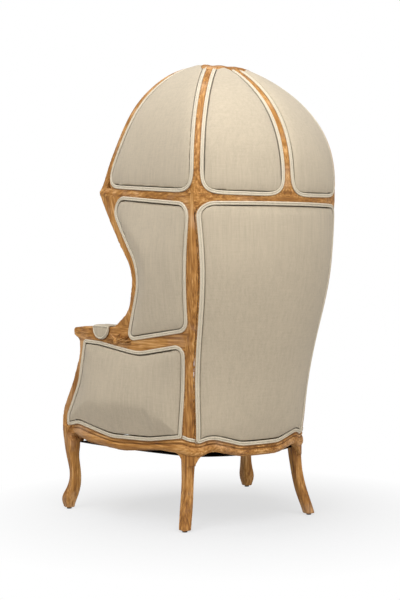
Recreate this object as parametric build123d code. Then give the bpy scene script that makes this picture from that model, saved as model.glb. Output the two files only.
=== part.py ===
# Hall porter chair: a hooded armchair on cabriole legs, with a timber lattice,
# a domed canopy in four gores, upholstered panels and a loose seat cushion.
# Millimetres, +Z up. The sitter faces -Y. All is drawn about the axis of the dome,
# and set down at the end with the origin on the floor under the middle.
from build123d import *
from math import atan, atan2, cos, radians, sin, sqrt, tan
import os

os.makedirs("parts", exist_ok=True)

# Driving dimensions of the shell
rail_line = 300.0
belt_height = 1164.0
belt_lean = 4.0
dome_rise = 471.0
post_half_width = 302.0
post_set_back = 332.0
front_half_width = 419.0
front_reach = 387.0
back_bow = 120.0
side_bow = 22.0
front_run_on = 60.0
apron_drop = 80.0

# Timber
wall_depth = 32.0
arm_depth = 52.0
dome_depth = 26.0
ledge_depth = 13.0
ledge_height = 296.0
belt_above = 15.0
belt_below = 13.0
rib_half_width = 12.0
rib_set_back = 9.0
arch_width = 34.0
hub_half_width = 30.0
hub_radius = 62.0
gore_corner = 45.0
gore_tip = 14.0
side_core_radius = 150.0
back_core_radius = 190.0

# Upholstery
welt_width = 13.0
welt_proud = 4.0
welt_depth = 8.0
panel_proud = 3.0
panel_depth = 12.0
side_crown = 26.0
back_crown = 14.0
gore_proud = 6.0
gore_depth = 9.0
pad_thickness = 26.0
pad_lap = 10.0
lining_thickness = 10.0
arm_pad_thickness = 6.0
fit = 0.3

# Legs and glides
glide_height = 5.0
glide_radius = 9.0
front_leg_size = 50.0
front_leg_height = 318.0
front_foot_x = 409.0
front_foot_y = -356.0
front_leg_set_in = 25.0
back_leg_size = 46.0
back_leg_height = 296.0
back_foot_x = 270.0
back_foot_y = 228.0
back_leg_splay = 55.0

# Seat
rail_top = 318.0
rail_thickness = 35.0
rail_bow = 25.0
rail_underside = 252.0
strap_width = 50.0
strap_thickness = 1.2
lengthwise_pitch = 95.0
crosswise_pitch = 104.0
crosswise_middle = -78.0
deck_top = 350.0
deck_margin = 5.0
deck_front = 3.0
deck_edge = 10.0
cushion_height = 108.0
cushion_margin = 12.0
cushion_front = 14.0
cushion_corner = 42.0
front_block_leg = 110.0
back_block_leg = 120.0
block_depth = 28.0
cover_thickness = 2.0

# How far the cutting shapes run
reach = 700.0
ceiling = 1800.0

# Sections of the walls, as shares of the wall height and of the sizes at the widest level
level_shares = (0, 0.185, 0.347, 0.579, 0.810, 1)
post_x_shares = (0.815, 0.838, 0.876, 0.950, 0.995, 1)
post_y_shares = (0.651, 0.714, 0.774, 0.904, 0.976, 1)
front_x_shares = (1, 0.981, 0.960, 0.912, 0.854, 0.807)
front_y_shares = (1, 0.951, 0.910, 0.850, 0.729, 0.638)
back_bow_shares = (0.683, 0.733, 0.783, 0.858, 0.950, 1)
side_bow_shares = (1, 0.950, 0.860, 0.730, 0.590, 0.545)
side_crown_shares = (0, 1, 0.25, 0.5, 0.5, 0)
back_crown_shares = (0, 0.6, 0.9, 1, 0.8, 0)

# Sections of the dome, as shares of its rise and of the belt's half widths
dome_height_shares = (0.12, 0.27, 0.44, 0.61, 0.76, 0.88, 0.96, 0.995)
dome_width_shares = (0.999, 0.988, 0.943, 0.842, 0.688, 0.50, 0.32, 0.15)
dome_front_shares = (0.955, 0.915, 0.853, 0.775, 0.652, 0.484, 0.297, 0.150)
gore_core_share = 0.70

# Outlines in side elevation: each corner is a share of the depth from front to post,
# a share of the wall height, and its rounding as a share of the wall height
silhouette_shares = (
    (0.195, 1.016, 0.002), (0.555, 0.681, 0.139), (0.519, 0.523, 0.104), (0.410, 0.456, 0.023),
    (0.274, 0.444, 0.069), (0.163, 0.449, 0.046), (0.066, 0.440, 0.009), (0.072, 0.411, 0.009),
    (0.124, 0.389, 0.017), (0.131, 0.324, 0.116), (0.079, 0.208, 0.174), (-0.002, 0.081, 0.139),
    (-0.004, -0.150, 0.002), (1.300, -0.150, 0.002), (1.300, 1.600, 0.002), (0.450, 1.600, 0.002),
)
wing_shares = (
    (0.284, 1.005, 0.058), (0.972, 0.957, 0.062), (0.908, 0.451, 0.058), (0.501, 0.397, 0.029),
    (0.608, 0.681, 0.174),
)
arm_shares = (
    (0.168, 0.394, 0.014), (0.302, 0.391, 0.116), (0.580, 0.359, 0.231), (0.876, 0.403, 0.038),
    (0.807, 0.019, 0.012), (0.622, -0.005, 0.174), (0.385, -0.009, 0.231), (0.135, 0.032, 0.093),
    (0.046, 0.012, 0.012), (0.040, 0.060, 0.058), (0.132, 0.208, 0.231),
)
side_gap_shares = (
    (0.058, -0.150, 0.002), (0.079, -0.009, 0.021), (0.218, -0.044, 0.093),
    (0.455, -0.058, 0.231), (0.677, -0.037, 0.174), (0.776, -0.042, 0.029),
    (0.812, -0.085, 0.035), (0.812, -0.150, 0.002),
)
arm_pad_shares = (
    (0.246, 0.399, 0.045), (0.374, 0.399, 0.045), (0.374, 0.458, 0.008), (0.246, 0.458, 0.008),
)

# Regions of the side elevation, where one timber ends and the next begins
behind_post_shares = (
    (0.800, -0.150), (0.807, 0.019), (0.876, 0.403), (0.908, 0.451), (0.972, 0.957),
    (1.000, 1.170), (1.300, 1.170), (1.300, -0.150),
)
belt_corner_shares = ((0.455, 0.860), (1.010, 0.860), (1.010, 0.980), (0.455, 1.000))
stile_zone_shares = (
    (-0.050, 0.463), (0.580, 0.463), (0.680, 0.530), (0.680, 0.810), (0.455, 0.970),
    (0.455, 1.100), (-0.050, 1.100),
)
arm_zone_shares = (
    (-0.050, 0.3843), (0.330, 0.3843), (0.330, 0.347), (0.920, 0.347), (0.920, 0.515),
    (0.580, 0.515), (0.580, 0.463), (-0.050, 0.463),
)
support_zone_shares = ((-0.060, 0.0405), (0.330, 0.0405), (0.330, 0.3843), (-0.060, 0.3843))
rail_zone_shares = (
    (0.058, -0.150), (0.920, -0.150), (0.920, 0.0521), (0.200, 0.0521), (0.200, 0.0405),
    (0.058, 0.0405),
)
block_zone_shares = ((-0.060, -0.012), (0.058, -0.012), (0.058, 0.0405), (-0.060, 0.0405))
behind_rails_shares = ((0.700, -0.150), (1.300, -0.150), (1.300, 0), (0.700, 0))

# Outlines in back and front elevation, as shares of the belt's half width and the wall height
back_shares = (
    (0.993, 0.960, 0.056), (-0.993, 0.960, 0.056), (-0.755, -0.005, 0.012),
    (-0.613, 0.021, 0.069), (-0.265, -0.012, 0.139), (0.265, -0.012, 0.139),
    (0.613, 0.021, 0.069), (0.755, -0.005, 0.012),
)
back_gap_shares = (
    (0.765, -0.150, 0.002), (0.765, -0.098, 0.023), (0.705, -0.054, 0.035), (0.580, -0.030, 0.058),
    (0.265, -0.056, 0.174), (-0.265, -0.056, 0.174), (-0.580, -0.030, 0.058),
    (-0.705, -0.054, 0.035), (-0.765, -0.098, 0.023), (-0.765, -0.150, 0.002),
)
front_gap_shares = (
    (1.200, -0.150, 0.002), (1.200, -0.050, 0.023), (1.020, 0, 0.046), (0.620, -0.052, 0.139),
    (0.200, -0.028, 0.093), (-0.200, -0.028, 0.093), (-0.620, -0.052, 0.139),
    (-1.020, 0, 0.046), (-1.200, -0.050, 0.023), (-1.200, -0.150, 0.002),
)
beside_back_shares = (
    (0.755, -0.150), (0.755, -0.007), (0.993, 0.958), (1.010, 1.170), (1.600, 1.170),
    (1.600, -0.150),
)

# Leg sections: share of the height, share of the way out to the foot, share of the size
front_leg_shares = (
    (0, 1, 0.56), (0.05, 1.02, 0.70), (0.13, 0.86, 0.86), (0.21, 0.46, 0.80), (0.30, 0.12, 0.70),
    (0.40, 0.02, 0.67), (0.52, 0.20, 0.72), (0.66, 0.44, 0.84), (0.82, 0.60, 0.94), (1, 0.70, 1),
)
back_leg_shares = (
    (0, 1, 0.66), (0.18, 0.68, 0.69), (0.36, 0.38, 0.71), (0.54, 0.18, 0.75), (0.72, 0.06, 0.83),
    (0.90, 0, 0.92), (1, -0.01, 0.96),
)
leg_edge_share = 0.2

# Cushion sections: share of the height, and how far drawn in as a share of the height
cushion_shares = (
    (0, 0.20), (0.10, 0.04), (0.32, 0), (0.56, 0), (0.76, 0.06), (0.89, 0.24), (0.96, 0.50),
    (0.99, 0.78), (1, 1.06),
)

wall_height = belt_height - rail_line
side_run = front_reach + post_set_back
front_line = front_foot_y - rail_thickness / 2
seat_floor = ledge_height + 2 * strap_thickness + fit
pad_face = wall_depth + pad_thickness
rib_angle = atan2(post_set_back, post_half_width)
rib_slope = tan(rib_angle)
parts = {}


def at_level(share, table):
    """A value of a table of wall sections at a share of the wall height."""
    for low, high, start, end in zip(level_shares, level_shares[1:], table, table[1:]):
        if share <= high:
            return start + (end - start) * (share - low) / (high - low)
    return table[-1]


def wall_corners(share, inset, crown=0):
    """Corner, back centre, side middle and front edge of one section of the walls."""
    post = Vector(post_half_width * at_level(share, post_x_shares),
                  post_set_back * at_level(share, post_y_shares))
    front = Vector(front_half_width * at_level(share, front_x_shares),
                   -front_reach * at_level(share, front_y_shares))
    bow = back_bow * at_level(share, back_bow_shares)
    bulge = side_bow * at_level(share, side_bow_shares)
    radius = (post.X ** 2 + bow ** 2) / (2 * bow)
    back_normal = Vector(post.X / radius, (radius - bow) / radius)
    chord = front - post
    along = chord.normalized()
    out = Vector(-along.Y, along.X)
    turn = 2 * atan(2 * bulge / chord.length)
    side_normal = out * cos(turn) - along * sin(turn)
    front_normal = out * cos(turn) + along * sin(turn)
    mitre = (side_normal + back_normal) / (1 + side_normal.dot(back_normal))
    side_swell = crown * side_crown * at_level(share, side_crown_shares)
    back_swell = crown * back_crown * at_level(share, back_crown_shares)
    corner = post - mitre * inset
    centre = Vector(0, post.Y + bow - inset + back_swell)
    middle = (post + front) / 2 + out * (bulge - inset + side_swell)
    edge = front - front_normal * inset
    return corner, centre, middle, edge


def drawn_in(corners, width, front_width):
    """A section of the dome: the belt's section drawn in, more so at its front edge."""
    corner, centre, middle, edge = corners
    bulge = middle - (corner + edge) / 2
    new_corner = corner * width
    new_edge = Vector(edge.X * front_width, edge.Y * width)
    new_middle = (new_corner + new_edge) / 2 + bulge * width
    return new_corner, centre * width, new_middle, new_edge


def flipped(point):
    return Vector(-point.X, point.Y)


def wall_face(corners):
    """One closed section: the bowed back, the two bowed sides and a straight front."""
    corner, centre, middle, edge = corners
    end = edge + (edge - corner).normalized() * front_run_on
    return make_face([
        ThreePointArc(corner, centre, flipped(corner)),
        ThreePointArc(flipped(corner), flipped(middle), flipped(edge)),
        Line(flipped(edge), flipped(end)),
        Line(flipped(end), end),
        Line(end, edge),
        ThreePointArc(edge, middle, corner),
    ])


def leaned(height, share=1):
    """A plane that leans back with the belt, through the dome's axis at a height."""
    lean = radians(belt_lean * share)
    return Plane(origin=(0, 0, height), x_dir=(1, 0, 0), z_dir=(0, sin(lean), cos(lean)))


def wall_body(inset, crown=0):
    """The walls as a solid, from under the apron up to the belt."""
    sections = []
    for share in level_shares:
        section = wall_face(wall_corners(share, inset, crown))
        sections.append(leaned(rail_line + wall_height * share, share) * section)
    return loft(sections) + extrude(sections[0], amount=-apron_drop)


def dome_body(inset):
    """The dome as a solid, from the belt up to the crown."""
    corners = wall_corners(1, inset)
    sections = [leaned(belt_height) * wall_face(corners)]
    for share, width, front in zip(dome_height_shares, dome_width_shares, dome_front_shares):
        height = belt_height + (dome_rise - inset) * share
        sections.append(leaned(height) * wall_face(drawn_in(corners, width, front)))
    return loft(sections)


def side_point(shares):
    """A place in the side elevation, as depth and height."""
    return (side_run * shares[0] - front_reach, rail_line + wall_height * shares[1])


def back_point(shares):
    """A place in the back elevation, as width and height."""
    return (post_half_width * shares[0], rail_line + wall_height * shares[1])


def outline(shares, place, border):
    """A face with rounded corners, drawn in by a border."""
    points = [place(corner) for corner in shares]
    radii = [wall_height * corner[2] for corner in shares]
    face = make_face(FilletPolyline(*points, radius=radii, close=True))
    return offset(face, amount=-border, kind=Kind.INTERSECTION) if border else face


def side_prism(shares, border=0):
    """A side outline, run through the left side of the chair."""
    return extrude(Plane.YZ * outline(shares, side_point, border), reach)


def back_prism(shares, border=0):
    """A back outline, run through the rear of the chair."""
    return extrude(Plane.XZ * outline(shares, back_point, border), -reach)


def front_prism(shares):
    """A front outline, run through the front of the chair."""
    return extrude(Plane.XZ * outline(shares, back_point, 0), reach)


def side_zone(shares):
    """A straight-sided region of the side elevation, run through the left side."""
    face = make_face(Polyline(*[side_point(corner) for corner in shares], close=True))
    return extrude(Plane.YZ * face, reach)


def back_zone(shares):
    """A straight-sided region of the back elevation, run through the rear."""
    face = make_face(Polyline(*[back_point(corner) for corner in shares], close=True))
    return extrude(Plane.XZ * face, -reach)


def between(low, high):
    """The space between two heights measured from the belt's leaning plane."""
    return extrude(leaned(belt_height + low) * Rectangle(2 * reach, 2 * reach), high - low)


def slab(face, low, high):
    """A plan run up from one level height to another."""
    return extrude(Plane.XY.offset(low) * face, high - low)


def half_space(origin, along, normal):
    """All that lies on one side of a plane, given by a point, a line in it and its normal."""
    plane = Plane(origin=origin, x_dir=along, z_dir=normal)
    return extrude(plane * Rectangle(4 * reach, 4 * reach), 2 * reach)


def flip(shape):
    """The mirror image on the chair's other side."""
    return mirror(shape, about=Plane.YZ)


def main_piece(shape):
    """The largest solid of a cut, without the offcuts."""
    return shape.solids().sort_by(SortBy.VOLUME)[-1]


def both(left):
    """A left half and its mirror image as one piece."""
    return left + flip(left)


def add_pair(name, left):
    """Add a left piece and its mirror image on the right."""
    parts[name + "_left"] = left
    parts[name + "_right"] = flip(left)


def behind_arch(distance):
    """All that lies behind the front plane of the arch by a distance."""
    ear = Vector(0, *side_point(silhouette_shares[0]))
    crest = Vector(0, *side_point(silhouette_shares[-1]))
    rise = (crest - ear).normalized()
    back = Vector(0, rise.Z, -rise.Y)
    return half_space(ear + back * distance, (1, 0, 0), back)


def rib_line(x, side):
    """The place in plan at a width from the axis, on one side of the corner rib's centre line."""
    return (x, x * rib_slope + (rib_set_back + side) / cos(rib_angle))


def runs_outward(edge):
    """True of an edge that starts within the dome and ends outside it."""
    ends = [Vector(end.X, end.Y).length for end in (edge @ 0, edge @ 1)]
    return min(ends) < reach / 2 < max(ends)


def rounded_gore(zone, core_radius, border):
    """A space between two ribs, with its inner core taken out and its corners rounded."""
    core = Cylinder(core_radius, belt_height + dome_rise * gore_core_share,
                    align=(Align.CENTER, Align.CENTER, Align.MIN))
    zone = (zone & between(belt_above + border, ceiling - belt_height)) - core
    floor = zone.faces().sort_by(Axis.Z)[0]
    zone = fillet([edge for edge in floor.edges() if runs_outward(edge)], gore_corner - border)
    uprights = zone.edges().filter_by(Axis.Z)
    tip = uprights.sort_by(lambda edge: abs(edge.center().X) + abs(edge.center().Y))[0]
    return fillet(tip, gore_tip)


def side_gore_zone(border):
    """The space between the front arch and the corner rib."""
    start = hub_half_width + border
    side = -rib_half_width - border
    plan = [rib_line(start, side), (start, -reach), (reach, -reach), rib_line(reach, side)]
    zone = slab(make_face(Polyline(*plan, close=True)), 0, ceiling)
    return rounded_gore(zone & behind_arch(arch_width + border), side_core_radius, border)


def back_gore_zone(border):
    """The space between the corner rib and the centre rib."""
    start = rib_half_width + border
    side = rib_half_width + border
    far = rib_line(reach, side)
    plan = [rib_line(start, side), far, (start, far[1])]
    return rounded_gore(slab(make_face(Polyline(*plan, close=True)), 0, ceiling),
                        back_core_radius, border)


def leg(sections, top, foot, size, height):
    """A swept leg, lofted through sections that step from the top out to the foot."""
    faces = []
    for rise, out, width in sections:
        place = top + (foot - top) * out
        side = size * width
        face = RectangleRounded(side, side, side * leg_edge_share)
        level = glide_height + (height - glide_height) * rise
        faces.append(Plane.XY.offset(level) * Pos(place.X, place.Y) * face)
    return loft(faces)


def front_field(distance):
    """All in plan that lies behind the front rail's bowed face by a distance."""
    start = front_line + distance
    return make_face([
        ThreePointArc((-front_end, start), (0, start - rail_bow), (front_end, start)),
        Polyline((front_end, start), (reach, start), (reach, reach), (-reach, reach),
                 (-reach, start), (-front_end, start)),
    ])


def front_board(setback, thickness, low, high):
    """A bowed board between the front legs."""
    strip = front_field(setback) - front_field(setback + thickness)
    return slab(strip & Rectangle(2 * front_end, 4 * reach), low, high)


def seat_plan(inset, distance):
    """The plan of the seat within the rails, by an inset and a distance from the front."""
    return wall_face(wall_corners(0, inset)) & front_field(distance)


# The timber shell: walls and dome of the wood's thickness, pierced by the panels' pockets
wall_inside = wall_body(wall_depth)
wing_pocket = side_prism(wing_shares)
arm_pocket = side_prism(arm_shares)
back_pocket = back_prism(back_shares)
side_gap = side_prism(side_gap_shares)
back_gap = back_prism(back_gap_shares)
profile = side_prism(silhouette_shares)
lattice = (wall_body(0) + dome_body(0) - wall_inside - dome_body(dome_depth)) & profile
lattice = lattice - (wing_pocket + arm_pocket + side_gap) - back_pocket - back_gap
lattice = lattice - side_gore_zone(0) - back_gore_zone(0)
deep_band = ((wall_inside - wall_body(arm_depth)) & profile) - back_pocket
ledge_face = wall_face(wall_corners(0, wall_depth))
ledge_face = ledge_face - wall_face(wall_corners(0, wall_depth + ledge_depth))
ledge_band = slab(ledge_face, rail_underside, ledge_height)

behind_posts = side_zone(behind_post_shares)
beside_back = back_zone(beside_back_shares)
arm_zone = side_zone(arm_zone_shares)
rail_zone = side_zone(rail_zone_shares)
above_belt = between(belt_above, reach)
belt_band = between(-belt_below, belt_above)
belt_floor = between(-wall_height / 3, reach)

# The mitre inside each rear corner, where what lines the side meets what lines the back
low_corner = wall_corners(0, 0)[0]
high_corner = wall_corners(1, 0)[0]
corner_line = Vector(high_corner.X, high_corner.Y, wall_height) - low_corner
inward = Vector(-1, -1, 0)
toward_side = corner_line.cross(inward).normalized()
corner_foot = Vector(low_corner.X, low_corner.Y, rail_line)
rear_of_corner = half_space(corner_foot - toward_side * fit, inward, -toward_side)
side_of_corner = half_space(corner_foot + toward_side * fit, inward, toward_side)

# Posts and legs
back_foot = Vector(back_foot_x, back_foot_y)
back_step = Vector(1, 1).normalized() * back_leg_splay
back_leg = leg(back_leg_shares, back_foot - back_step, back_foot, back_leg_size, back_leg_height)
post = (lattice & behind_posts & beside_back) - above_belt
back_post = main_piece(post + back_leg)
add_pair("back_post", back_post)
front_foot = Vector(front_foot_x, front_foot_y)
front_step = Vector(1, -1).normalized() * front_leg_set_in
front_leg = leg(front_leg_shares, front_foot - front_step, front_foot,
                front_leg_size, front_leg_height)
front_post = main_piece((lattice & side_zone(block_zone_shares)) + front_leg - arm_pocket)
add_pair("front_leg", front_post)

# Side timbers
side_frame = lattice - behind_posts
add_pair("arm_support", main_piece((side_frame & side_zone(support_zone_shares)) - front_post))
deep_arm = (deep_band & arm_zone & side_of_corner) - behind_posts - arm_pocket - wing_pocket
add_pair("arm", main_piece((side_frame & arm_zone) + deep_arm))
belt_corner = (side_frame & side_zone(belt_corner_shares)) - belt_band - above_belt
belt_side = (side_frame & belt_band) + belt_corner
add_pair("side_belt_rail", main_piece(belt_side))
stile = (side_frame & side_zone(stile_zone_shares)) - belt_side - above_belt
add_pair("wing_stile", main_piece(stile))
side_ledge = (ledge_band & rail_zone) - side_gap - behind_posts
side_rail = main_piece((side_frame & rail_zone) + side_ledge - back_post - front_post)
add_pair("side_rail", side_rail)

# Back timbers, each made as a left half with its mirror image
back_frame = (lattice & behind_posts) - beside_back - above_belt
parts["back_belt_rail"] = both(main_piece(back_frame & belt_floor))
back_ledge = (ledge_band & side_zone(behind_rails_shares)) - beside_back - back_gap
back_rail = (back_frame - belt_floor) + back_ledge - back_post - side_rail
parts["back_rail"] = both(main_piece(back_rail))

# Front rail, between the front legs
front_end = (front_foot - front_step * (1 - front_leg_shares[-1][1])).X - front_leg_size / 2
front_rail = front_board(0, rail_thickness, rail_underside, rail_top)
front_rail = front_rail + front_board(rail_thickness, ledge_depth, rail_underside, ledge_height)
front_rail = front_rail - front_prism(front_gap_shares) - both(front_post) - both(side_rail)
parts["front_rail"] = main_piece(front_rail)

# Dome timbers
hub = Cylinder(hub_radius, ceiling, align=(Align.CENTER, Align.CENTER, Align.MIN))
dome_frame = lattice & between(belt_above + fit, reach)
arch_zone = above_belt - behind_arch(arch_width)
add_pair("front_arch", main_piece(dome_frame & arch_zone))
ribs = dome_frame - arch_zone
parts["crown_block"] = both(main_piece(ribs & hub))
rib_tip = rib_line(0, back_core_radius / 2)
rib_split = slab(make_face(Polyline(rib_tip, rib_line(reach, back_core_radius / 2),
                                    (0, rib_line(reach, 0)[1]), close=True)), 0, ceiling)
add_pair("corner_rib", main_piece((ribs - hub) - rib_split))
parts["centre_rib"] = both(main_piece((ribs - hub) & rib_split))

# Outer upholstery: each field is a crowned panel inside a raised double welt
panel_skin = wall_body(-panel_proud, 1) - wall_body(panel_depth)
welt_skin = wall_body(-welt_proud) - wall_body(welt_depth)
for name, shares in (("wing", wing_shares), ("arm", arm_shares)):
    field = side_prism(shares, welt_width)
    ring = side_prism(shares, fit) - side_prism(shares, welt_width - fit)
    add_pair(f"outer_{name}_panel", main_piece((panel_skin & field) - back_pocket))
    add_pair(f"{name}_welt", main_piece((welt_skin & ring) - back_pocket))
parts["outer_back_panel"] = main_piece(panel_skin & back_prism(back_shares, welt_width))
back_ring = back_prism(back_shares, fit) - back_prism(back_shares, welt_width - fit)
parts["back_welt"] = main_piece(welt_skin & back_ring)

# Dome upholstery: a gore with its welt outside, and a lining inside
gore_skin = dome_body(-gore_proud) - dome_body(gore_depth)
gore_welt_skin = dome_body(-welt_proud) - dome_body(welt_depth)
lining_skin = dome_body(gore_depth + fit) - dome_body(dome_depth + lining_thickness)
for name, gore_zone in (("side", side_gore_zone), ("back", back_gore_zone)):
    lined = gore_zone(fit)
    ring = lined - gore_zone(welt_width - fit)
    add_pair(f"{name}_gore", main_piece(gore_skin & gore_zone(welt_width)))
    add_pair(f"{name}_gore_welt", main_piece(gore_welt_skin & ring))
    add_pair(f"{name}_dome_lining", main_piece(lining_skin & lined))

# Inside upholstery: pads that lap the timber round each opening and meet at the corners
above_seat = slab(Rectangle(2 * reach, 2 * reach), seat_floor, ceiling)
pad_skin = (wall_body(wall_depth + fit) - wall_body(pad_face)) & above_seat
back_pad = pad_skin & back_prism(back_shares, -pad_lap) & rear_of_corner & flip(rear_of_corner)
parts["inside_back_pad"] = main_piece(back_pad)
bare_arm = arm_zone - side_prism(arm_shares, fit) - side_prism(wing_shares, fit)
behind_leg = front_foot_y + front_leg_size
front_corner = slab(Pos(0, behind_leg - reach) * Rectangle(2 * reach, 2 * reach), 0, rail_top + fit)
for name, shares in (("wing", wing_shares), ("arm", arm_shares)):
    pad = (pad_skin & side_prism(shares, -pad_lap) & side_of_corner) - bare_arm - front_corner
    add_pair(f"inside_{name}_pad", main_piece(pad))

# Arm pads, folded over the arms
pad_wrap = wall_body(-arm_pad_thickness) - wall_body(arm_depth + arm_pad_thickness)
arm_core = (wall_body(-fit) - wall_body(arm_depth + fit)) & side_prism(silhouette_shares, -fit)
add_pair("arm_pad", main_piece((pad_wrap & side_prism(arm_pad_shares)) - arm_core))

# Seat webbing, four straps from front to back under five from side to side
strap_field = seat_plan(wall_depth + fit, rail_thickness + fit)
straps = []
for place in (-1.5, -0.5, 0.5, 1.5):
    strip = Pos(lengthwise_pitch * place, 0) * Rectangle(strap_width, 2 * reach)
    straps.append(slab(strap_field & strip, ledge_height, ledge_height + strap_thickness))
for place in (-2, -1, 0, 1, 2):
    strip = Pos(0, crosswise_middle + crosswise_pitch * place) * Rectangle(2 * reach, strap_width)
    low = ledge_height + strap_thickness
    straps.append(slab(strap_field & strip, low, low + strap_thickness))
parts["seat_webbing"] = Compound([main_piece(strap) for strap in straps])

# Stuffed deck on the webbing, which runs forward over the front rail
deck_inset = pad_face + deck_margin
deck = slab(seat_plan(deck_inset, rail_thickness + fit), seat_floor, deck_top)
deck = deck + slab(seat_plan(deck_inset, deck_front), rail_top + fit, deck_top)
parts["seat_deck"] = fillet(deck.faces().sort_by(Axis.Z)[-1].edges(), deck_edge)

# Loose cushion, crowned and drawn in at the seams
sections = []
for rise, draw in cushion_shares:
    drawn = cushion_height * draw
    level = deck_top + fit + cushion_height * rise
    corners = wall_corners((level - rail_line) / wall_height, pad_face + cushion_margin + drawn)
    plan = wall_face(corners) & front_field(cushion_front + drawn)
    sections.append(Plane.XY.offset(level) * fillet(plan.vertices(), cushion_corner))
above_deck = slab(Rectangle(2 * reach, 2 * reach), deck_top + fit, ceiling)
parts["seat_cushion"] = main_piece(loft(sections) & above_deck)

# Corner blocks under the webbing
block_field = seat_plan(wall_depth + ledge_depth + fit, rail_thickness + ledge_depth + fit)
front_block = Vector(wall_corners(0, wall_depth + ledge_depth)[3].X, front_line + rail_thickness)
back_block = wall_corners(0, wall_depth + ledge_depth)[0]
block_low = ledge_height - block_depth
for name, corner, arm, timber in (("front", front_block, front_block_leg, front_post),
                                  ("back", back_block, back_block_leg, back_post)):
    rear = corner.Y + arm if name == "front" else corner.Y - arm
    triangle = make_face(Polyline((corner.X - arm, corner.Y), (corner.X + arm, corner.Y),
                                  (corner.X, rear), close=True))
    wedge = slab(block_field & triangle, block_low, ledge_height) - timber
    parts[f"{name}_corner_blocks"] = Compound([main_piece(wedge), flip(main_piece(wedge))])

# Dust cover tacked under the rails
cover_field = seat_plan(wall_depth + fit, rail_thickness + fit)
cover = slab(cover_field, rail_underside - cover_thickness, rail_underside)
parts["dust_cover"] = main_piece(cover - both(front_post) - both(back_post))

# Glides
glide = Cylinder(glide_radius, glide_height, align=(Align.CENTER, Align.CENTER, Align.MIN))
glides = [Pos(foot.X, foot.Y) * glide for foot in (front_foot, back_foot)]
parts["glides"] = Compound(glides + [flip(piece) for piece in glides])

# Set down with the origin under the middle, and written out
boxes = [shape.bounding_box() for shape in parts.values()]
middle = (min(box.min.Y for box in boxes) + max(box.max.Y for box in boxes)) / 2
print("moved back to front by", round(middle, 3))
for name, shape in parts.items():
    placed = shape.moved(Location((0, -middle, 0)))
    print(name, len(placed.solids()), round(placed.volume), len(placed.faces()))
    export_step(placed, f"parts/{name}.step")
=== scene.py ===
"""The looks of a hall porter chair, built around its CAD frame: carved timbers, linen
fields in double welts, a lined dome, inside pads, arm pads and a loose cushion."""
import math

import bmesh
import bpy
import numpy as np
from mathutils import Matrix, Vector
from mathutils.bvhtree import BVHTree
from mathutils.kdtree import KDTree


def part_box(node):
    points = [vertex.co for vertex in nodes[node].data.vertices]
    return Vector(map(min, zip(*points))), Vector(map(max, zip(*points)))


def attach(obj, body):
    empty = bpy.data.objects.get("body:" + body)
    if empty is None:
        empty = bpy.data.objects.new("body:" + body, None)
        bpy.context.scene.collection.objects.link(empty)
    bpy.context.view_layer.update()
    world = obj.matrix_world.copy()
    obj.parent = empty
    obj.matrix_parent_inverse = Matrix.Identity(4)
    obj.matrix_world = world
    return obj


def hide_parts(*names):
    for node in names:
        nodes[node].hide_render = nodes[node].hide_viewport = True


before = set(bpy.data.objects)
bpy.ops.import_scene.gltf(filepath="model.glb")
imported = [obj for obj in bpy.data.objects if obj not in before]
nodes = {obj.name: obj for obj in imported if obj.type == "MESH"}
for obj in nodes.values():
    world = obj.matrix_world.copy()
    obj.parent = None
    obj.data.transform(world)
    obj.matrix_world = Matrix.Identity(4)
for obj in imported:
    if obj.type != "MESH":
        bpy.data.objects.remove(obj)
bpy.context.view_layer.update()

MM = 0.001
SIDES = ("left", "right")

# The photograph's camera, in the row frame
CAMERA_PLACE = (2.656, 3.8983, 0.963)
CAMERA_TURN = 33.50
CAMERA_PITCH = 2.16
CAMERA_LENS = 77.5

# Light
WORLD_LIGHT = 0.37
FLOOR_GLOW = 0.64
FLOOR_NEAR = 0.35
FLOOR_FAR = 1.0
FLOOR_HALF = 30.0
FLOOR_MATTE = (0.62, 0.62, 0.62, 1)
LIGHT_AIM = Vector((0, 0, 0.9))
LAMPS = (
    # name, place, size, power, colour
    ("overhead", (1.1, 1.3, 3.8), 3.2, 108, (0.94, 0.98, 1.04)),
    ("key", (-1.2, 4.6, 2.4), 3.0, 66, (1.0, 0.98, 0.94)),
    ("fill", (3.7, 1.0, 3.4), 3.4, 49, (1.0, 0.96, 0.90)),
    ("front", (-1.6, -4.2, 2.8), 3.0, 22, (1.0, 0.98, 0.95)),
)

# Carved trim
APRON_REACH = 70 * MM
APRON_STEP = 6 * MM
APRON_LEAST = 18 * MM
APRON_MOST = 52 * MM
APRON_PROBE = 3 * MM
APRON_TAPER = 40 * MM
APRON_EASE = 12
APRON_LEVEL = 0.7
APRON_TURN = 0.6
APRON_MOULDINGS = (("apron_bead", 0.04, 0.22, 3.8 * MM), ("apron_bow", 0.30, 0.90, 7.0 * MM))

LEAF_PLACE = (0.3566, -0.094, 0.650)
LEAF_SIZE = (150 * MM, 56 * MM)
LEAF_GRAIN = 80
EAR_PLACE = (0.339, -0.222, 1.175)
EAR_SIZE = (30 * MM, 30 * MM)
EAR_GRAIN = 36
FLOWER_REACH = 0.95
FLOWER_RISE = 5.2 * MM
FLOWER_EYE = 0.30
FLOWER_EYE_RISE = 7.4 * MM
SCROLL_PLACE = (-0.24, -0.32)
SCROLL_REACH = 0.36
SCROLL_RISE = 10.5 * MM
RELIEF_SINK = 1.2 * MM
RELIEF_DEPTH = 3 * MM
ARM_BEAD = ((0.395, -0.368, 0.664), (0.392, -0.300, 0.665), (0.388, -0.245, 0.665))
ARM_BEAD_RADIUS = 2.6 * MM
BEAD_STEP = 4 * MM
BEAD_SIDES = 10
ARM_FOOT = 0.34
FOOT_LAP = 3 * MM
FOOT_CORDS = (("post_foot_roll", 3 * MM), ("post_foot_cord", 9 * MM))
FOOT_CORD_RADIUS = 3.3 * MM

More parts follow.
